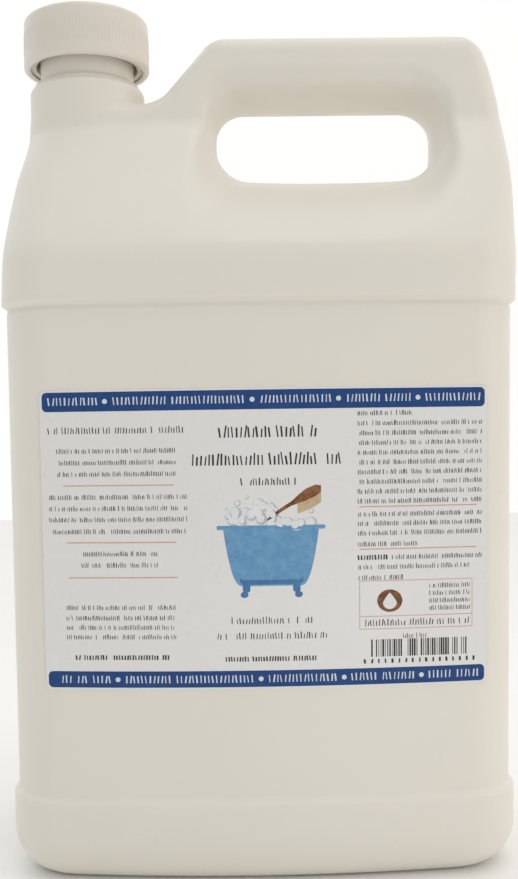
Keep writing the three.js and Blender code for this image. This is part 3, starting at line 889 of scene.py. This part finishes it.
def strokeTree():  # short upright strokes along each line of its base, bowed as the panel is
    tree = Tree("rows_of_strokes", [("Geometry", "Geometry"), ("Pitch", "Float"), ("Stroke", "Vector"),
                                    ("Shortest", "Float"), ("Tallest", "Float"), ("Slimmest", "Float"),
                                    ("Widest", "Float"), ("Gaps", "Float"), ("Seed", "Int"),
                                    ("Lean", "Vector"), ("Bow", "Float"), ("Material", "Material")])
    curve = tree.make("GeometryNodeMeshToCurve", {}, {"Mesh": tree.given("Geometry")})
    points = tree.make("GeometryNodeCurveToPoints", {"mode": "LENGTH"}, {"Curve": curve.outputs[0],
                                                                        "Length": tree.given("Pitch")})
    gap = tree.make("FunctionNodeRandomValue", {"data_type": "BOOLEAN"},
                    {"Probability": tree.given("Gaps"), "Seed": tree.given("Seed")})
    kept = tree.make("GeometryNodeDeleteGeometry", {"domain": "POINT"}, {"Geometry": points.outputs[0],
                                                                         "Selection": gap.outputs[3]})
    tall = tree.make("FunctionNodeRandomValue", {"data_type": "FLOAT"},
                     {2: tree.given("Shortest"), 3: tree.given("Tallest"), "Seed": tree.given("Seed")})
    wide = tree.make("FunctionNodeRandomValue", {"data_type": "FLOAT"},
                     {2: tree.given("Slimmest"), 3: tree.given("Widest"), "Seed": 7})
    scale = tree.make("ShaderNodeCombineXYZ", {}, {"X": wide.outputs[1], "Y": 1.0, "Z": tall.outputs[1]})
    less = tree.make("ShaderNodeVectorMath", {"operation": "SCALE"}, {0: tree.given("Lean"), "Scale": -1.0})
    lean = tree.make("FunctionNodeRandomValue", {"data_type": "FLOAT_VECTOR"},
                     {0: less.outputs[0], 1: tree.given("Lean"), "Seed": 13})
    block = tree.make("GeometryNodeMeshCube", {}, {"Size": tree.given("Stroke")})
    half = tree.make("ShaderNodeVectorMath", {"operation": "MULTIPLY"}, {0: tree.given("Stroke"),
                                                                        1: (0.0, 0.0, 0.5)})
    stood = tree.make("GeometryNodeTransform", {}, {"Geometry": block.outputs[0],
                                                   "Translation": half.outputs[0]})
    strokes = tree.make("GeometryNodeInstanceOnPoints", {}, {"Points": kept.outputs[0],
                                                             "Instance": stood.outputs[0],
                                                             "Rotation": lean.outputs[0],
                                                             "Scale": scale.outputs[0]})
    real = tree.make("GeometryNodeRealizeInstances", {}, {"Geometry": strokes.outputs[0]})
    place = tree.make("GeometryNodeInputPosition", {}, {})
    split = tree.make("ShaderNodeSeparateXYZ", {}, {"Vector": place.outputs[0]})
    across = split.outputs[0]
    square = tree.make("ShaderNodeMath", {"operation": "MULTIPLY"}, {0: across, 1: across})
    bow = tree.make("ShaderNodeMath", {"operation": "MULTIPLY"}, {0: square.outputs[0], 1: tree.given("Bow")})
    shift = tree.make("ShaderNodeCombineXYZ", {}, {"Y": bow.outputs[0]})
    bowed = tree.make("GeometryNodeSetPosition", {}, {"Geometry": real.outputs[0],
                                                     "Offset": shift.outputs[0]})
    tree.end(bowed.outputs[0])
    return tree


def rowsMesh(rows, lift):  # one edge for each row: (left, right, height), all on a flat sheet in front
    points, edges = [], []
    for left, right, v in rows:
        edges.append((len(points), len(points) + 1))
        for u in (left, right):
            points.append((labelMiddle[0] + u, -(panelFront + label["gap"] + lift), labelMiddle[2] + v))
    mesh = bpy.data.meshes.new("rows")
    mesh.from_pydata((np.array(points) * mm).tolist(), edges, [])
    return mesh


def strokes(tree, name, rows, finish, pitch, width, height, shortest=0.62, gaps=0.16, seed=1, level=0,
            slimmest=0.8, widest=1.3, lean=0.16):
    rows = [(left, right, v - height * 0.45) for left, right, v in rows]
    deep = label["ink"] * 1.2
    lift = label["film"] + label["ink"] * level + deep / 2 - 0.01
    tree.run(name, rowsMesh(rows, lift),
             {"Pitch": pitch * mm, "Stroke": (width * mm, deep * mm, height * mm),
              "Shortest": shortest, "Tallest": 1.0, "Slimmest": slimmest, "Widest": widest, "Gaps": gaps,
              "Seed": seed, "Lean": (0.0, lean, 0.0), "Bow": jug["crown"] / panelHalf ** 2 * 1000,
              "Material": finish}, "bottle_body", "label_film")


def evenRows(left, right, top, step, count):
    return [(left, right, top - step * i) for i in range(count)]


leftText = ([(-71, -30.6, v) for v in (30.9, 26.95, 23.0)] + [(-74, -26.9, v) for v in (15.1, 11.2, 7.4, 3.3)]
            + [(-63.2, -37.4, v) for v in (-4.4, -8.3)]
            + [(-68.9, -31.4, v) for v in (-23.0, -26.6, -29.9, -33.2)])
rightText = (evenRows(31.8, 74.6, 39.2, 3.33, 9) + [(31.8, 74.6, v) for v in (8.1, 4.9, 1.6)]
             + [(31.8, 52.0, -2.2), (43.5, 74.6, -6.8), (31.8, 70.0, -10.1), (31.8, 47.0, -13.8),
                (31.8, 50.1, 42.6), (47.3, 55.7, -34.3)]
             + [(56.5, 70.4, v) for v in (-17.0, -19.6, -22.2, -24.8)])
rules = [(-69.2, -31.1, 19.1), (-68.4, -30.6, -0.5), (-68.1, -30.3, -12.6), (32, 73, 10.7), (32, 73, -3.9)]
box = (32, 71.5, -31.6, -14.9, -27.2)
stripes = [(44.4, 51.0), (-50.9, -45.2)]
stripeRows = (47.75, -48.1)


def makeStripes(finish, dotFinish, tree):
    base, top = label["film"] - 0.01, label["film"] + label["ink"]
    edge = labelHalf[0] - 0.9
    upperRow, lowerRow = stripeRows
    parts = [roundedSheet(-edge, edge, low, high, 1.6, base, top, 60) for low, high in stripes]
    labelPiece("label_stripes", joined(parts), finish)
    dots = [(u, upperRow) for u in (-54.2, -4.1, 25.2, 52.5)]
    dots += [(u, lowerRow) for u in (-51.6, -2.2, 26.5, 53.5)]
    parts = [disc(u, v, 0.85, top - 0.01, top + label["ink"]) for u, v in dots]
    labelPiece("label_dots", joined(parts), dotFinish)
    upper = [(-73.4, -57.0), (-51.0, -7.2), (-1.0, 22.4), (28.4, 49.6), (55.6, 73.8)]
    lower = [(-71.0, -54.4), (-48.6, -5.2), (0.8, 23.6), (29.4, 50.6), (56.4, 73.4)]
    rows = [(a, b, upperRow) for a, b in upper] + [(a, b, lowerRow) for a, b in lower]
    strokes(tree, "label_stripe_marks", rows, dotFinish, 1.32, 0.42, 2.7, shortest=0.9, gaps=0.07,
            seed=3, level=1)


def makePrint(tree, dark, orange, red):
    strokes(tree, "label_small_print", leftText + rightText, dark, 0.62, 0.23, 1.75, seed=5)
    strokes(tree, "label_heads", [(-74.7, -26.9, 37.9), (-11.9, 15.4, -27.9), (-16.9, 20.4, -33.2),
                                  (34, 70, -29.5)], dark, 0.95, 0.3, 2.4, seed=11)
    strokes(tree, "label_bold_print", [(-65.8, -34.0, -40.4), (-14.0, 17.6, -41.2), (31.8, 41.5, -6.8)], dark,
            0.92, 0.46, 1.75, shortest=0.85, gaps=0.12, seed=17)
    strokes(tree, "label_title", [(-15.1, 17.1, 36.9), (-24.6, 27.0, 27.5)], dark, 1.36, 0.52, 4.4,
            gaps=0.1, seed=22)
    strokes(tree, "label_subtitle", [(-8.0, 10.1, 19.8)], dark, 1.0, 0.36, 2.6, gaps=0.08, seed=26)
    strokes(tree, "label_bars", [(36.2, 69.3, -38.6)], dark, 0.78, 0.42, 6.0, shortest=1.0, gaps=0.1, seed=31,
            slimmest=0.35, widest=1.6, lean=0.0)
    strokes(tree, "label_bar_marks", [(33.8, 72.0, -42.9)], dark, 2.3, 0.6, 1.5, shortest=1.0, gaps=0.0,
            seed=33)
    base, top = label["film"] - 0.01, label["film"] + label["ink"]
    parts = [roundedSheet(a, b, v - 0.16, v + 0.16, 0.12, base, top) for a, b, v in rules]
    labelPiece("label_rules", joined(parts), orange)
    left, right, low, high, divide = box
    parts = [roundedSheet(left, right, v - 0.12, v + 0.12, 0.1, base, top) for v in (high, low, divide)]
    parts += [roundedSheet(u - 0.12, u + 0.12, low, high, 0.1, base, top, 6) for u in (left, right)]
    labelPiece("label_frame", joined(parts), red)


picture = {"middle": 1.8, "rim": 4.4, "rimHalf": 18.6, "bathHalf": 16.4, "foot": -15.9, "footHalf": 12.0,
           "feet": 8.6, "bubbles": 46, "mark": (42.5, -21.9)}


def makePicture(blue, shadeBlue, foamWhite, foamGrey, wood, bristle):  # a bath full of foam, with a brush
    base = label["film"] - 0.01
    step = label["ink"]
    mid, rim, foot = picture["middle"], picture["rim"], picture["foot"]
    bathHalf, flatHalf = picture["bathHalf"], picture["footHalf"] - 2.0
    us = np.linspace(-bathHalf, bathHalf, 44)
    side = np.clip((np.abs(us) - flatHalf) / (bathHalf - flatHalf), 0, 1)
    low = foot + (rim - foot - 0.6) * side ** 2.4
    bath = [sheetOf(us + mid, low, rim - 0.2, base, base + step),
            roundedSheet(mid - picture["rimHalf"], mid + picture["rimHalf"], rim - 0.9, rim + 0.5, 0.65, base,
                         base + 1.6 * step)]
    labelPiece("label_bath", joined(bath), blue)
    feet = []
    for way in (-1, 1):
        centre = mid + way * picture["feet"]
        feet += [roundedSheet(centre - 1.3, centre + 1.3, foot - 2.2, foot + 0.8, 0.9, base,
                              base + 1.2 * step, 6),
                 disc(centre + way * 0.7, foot - 3.0, 1.35, base, base + 1.4 * step, 0.8)]
    feet.append(sheetOf(us[6:-6] * 0.92 + mid, low[6:-6] + 0.5, low[6:-6] + 2.1, base, base + 1.1 * step))
    labelPiece("label_bath_shade", joined(feet), shadeBlue)
    rng = np.random.default_rng(4)
    grey, white = [], []
    for i in range(picture["bubbles"]):
        u = mid + rng.uniform(-15.5, 15.5)
        top = 6.2 * math.exp(-((u - mid + 5) / 9.5) ** 2) + 1.6
        v = rim + 0.2 + rng.uniform(0.0, 1.0) * top
        radius = rng.uniform(0.9, 2.1)
        lift = 0.012 * i  # so that no two bubbles lie at one height
        grey.append(disc(u, v, radius, base, base + step * (1.0 + lift)))
        white.append(disc(u - 0.16 * radius, v + 0.18 * radius, radius * 0.74, base,
                          base + step * (1.25 + lift)))
    for u, v, radius in ((-9.5, 12.6, 1.1), (-6.4, 14.6, 0.7), (15.6, 9.6, 0.9), (-13.4, 10.8, 0.6)):
        grey.append(disc(u, v, radius, base, base + step))
        white.append(disc(u - 0.1, v + 0.1, radius * 0.7, base, base + step * 1.3))
    labelPiece("label_foam_shade", joined(grey), foamGrey)
    labelPiece("label_foam", joined(white), foamWhite)
    us = np.linspace(0, 1, 40)  # the brush leans out of the bath, bristles down
    thick = np.interp(us, [0, 0.08, 0.45, 0.58, 0.72, 0.9, 1.0], [0.5, 1.1, 1.2, 2.4, 3.4, 3.2, 1.8])
    along, spine = 0.5 + 18.5 * us, 6.6 + 13.5 * us - 3.2 * us * us
    under = spine - thick * 0.45
    labelPiece("label_brush", sheetOf(along, under, spine + thick * 0.75, base, base + 1.7 * step), wood)
    head = us > 0.54
    tuft = sheetOf(along[head], under[head] - 3.4, under[head] + 0.3, base, base + 1.5 * step)
    labelPiece("label_bristles", tuft, bristle)
    drop = np.linspace(-1, 1, 21)
    width = np.sqrt(np.clip(1 - drop ** 2, 0.01, 1))
    markX, markZ = picture["mark"]
    mark = sheetOf(markX + 4.4 * drop, markZ - 3.9 * width, markZ + 3.9 * width, base, base + step)
    labelPiece("label_mark", mark, wood)
    low, high = markZ - 0.7 - 2.2 * width, markZ - 0.7 + 2.2 * width * (1.6 - np.abs(drop))
    leaf = sheetOf(markX + 2.4 * drop, low, high, base, base + step * 1.6)
    labelPiece("label_mark_drop", leaf, foamWhite)


def makeLabel():
    film = roundedSheet(-labelHalf[0], labelHalf[0], -labelHalf[2], labelHalf[2], label["corner"], 0.0,
                        label["film"], label["columns"])
    labelPiece("label_sheet", film, labelFilm())
    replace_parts(bpy.data.objects["label_sheet"], "front_label")
    tree = strokeTree()
    dark = ink("ink_dark", shade(0.022, 0.021, 0.024), shade(0.05, 0.048, 0.05))
    blue = ink("ink_blue", shade(0.012, 0.052, 0.19), shade(0.017, 0.066, 0.225))
    white = ink("ink_white", shade(0.62, 0.66, 0.70), shade(0.70, 0.73, 0.76))
    orange = ink("ink_orange", shade(0.56, 0.30, 0.15), shade(0.64, 0.38, 0.20))
    red = ink("ink_red", shade(0.60, 0.34, 0.28), shade(0.66, 0.42, 0.34))
    print("label: film")
    makeStripes(blue, white, tree)
    makePrint(tree, dark, orange, red)
    makePicture(ink("ink_bath", shade(0.12, 0.29, 0.50), shade(0.17, 0.36, 0.56)),
                ink("ink_bath_shade", shade(0.05, 0.16, 0.36), shade(0.08, 0.22, 0.42)),
                ink("ink_foam", shade(0.72, 0.74, 0.75), shade(0.80, 0.81, 0.81)),
                ink("ink_foam_shade", shade(0.42, 0.46, 0.50), shade(0.52, 0.56, 0.60)),
                ink("ink_wood", shade(0.12, 0.045, 0.018), shade(0.30, 0.13, 0.05)),
                ink("ink_bristle", shade(0.50, 0.38, 0.22), shade(0.62, 0.50, 0.32)))


def makeFloor():
    size = studio["floorSize"] / 2
    mesh = bpy.data.meshes.new("floor")
    corners = [(-size, -size, 0), (size, -size, 0), (size, size, 0), (-size, size, 0)]
    mesh.from_pydata(corners, [], [(0, 1, 2, 3)])
    mesh.materials.append(floorFinish())
    floor = bpy.data.objects.new("floor", mesh)
    bpy.context.scene.collection.objects.link(floor)


def makeStudio():  # a bright backdrop behind, a dimmer room in front, warmer to the right
    world = bpy.data.worlds.new("studio")
    world.use_nodes = True
    tree = world.node_tree
    split = tree.nodes.new("ShaderNodeSeparateXYZ")
    tree.links.new(tree.nodes.new("ShaderNodeTexCoord").outputs["Generated"], split.inputs[0])
    parts = []
    for axis, ends in (("Y", (-0.1, 0.6, studio["room"], studio["backdrop"])),
                       ("Z", (0.2, 1.0, 0.0, studio["ceiling"])), ("X", (-0.7, 0.9, 0.0, 1.0))):
        part = tree.nodes.new("ShaderNodeMapRange")
        part.interpolation_type = "SMOOTHSTEP"
        for name, value in zip(("From Min", "From Max", "To Min", "To Max"), ends):
            part.inputs[name].default_value = value
        tree.links.new(split.outputs[axis], part.inputs["Value"])
        parts.append(part.outputs["Result"])
    strength = tree.nodes.new("ShaderNodeMath")
    tree.links.new(parts[0], strength.inputs[0])
    tree.links.new(parts[1], strength.inputs[1])
    tint = tree.nodes.new("ShaderNodeMix")
    tint.data_type = "RGBA"
    tint.inputs[6].default_value = shade(*studio["cool"])
    tint.inputs[7].default_value = shade(*studio["warm"])
    tree.links.new(parts[2], tint.inputs[0])
    background = tree.nodes["Background"]
    tree.links.new(tint.outputs[2], background.inputs["Color"])
    tree.links.new(strength.outputs[0], background.inputs["Strength"])
    bpy.context.scene.world = world
    for name, target in (("key", (0.0, 0.0, 0.18)), ("low", (0.0, 0.0, 0.0)), ("top", (0.0, 0.0, 0.26))):
        makeLight(name, studio[name], target)
    bpy.context.scene.view_settings.view_transform = "Standard"


makeCamera()
makeStudio()
makeFloor()
makeJug()
capPlastic = mouldedPlastic("cap_plastic", capFinish)
ring = ringTree()
makeOuterCap(ring, capPlastic)
makeInnerCap(ring, mouldedPlastic("inner_cap_plastic", innerFinish))
print("caps done")
makeLabel()
print("label done")
for node, material in (("cap_liner", foam()), ("shampoo_fill", shampooLiquid())):
    cadPiece = bpy.data.objects[node]
    cadPiece.data.materials.clear()
    cadPiece.data.materials.append(material)
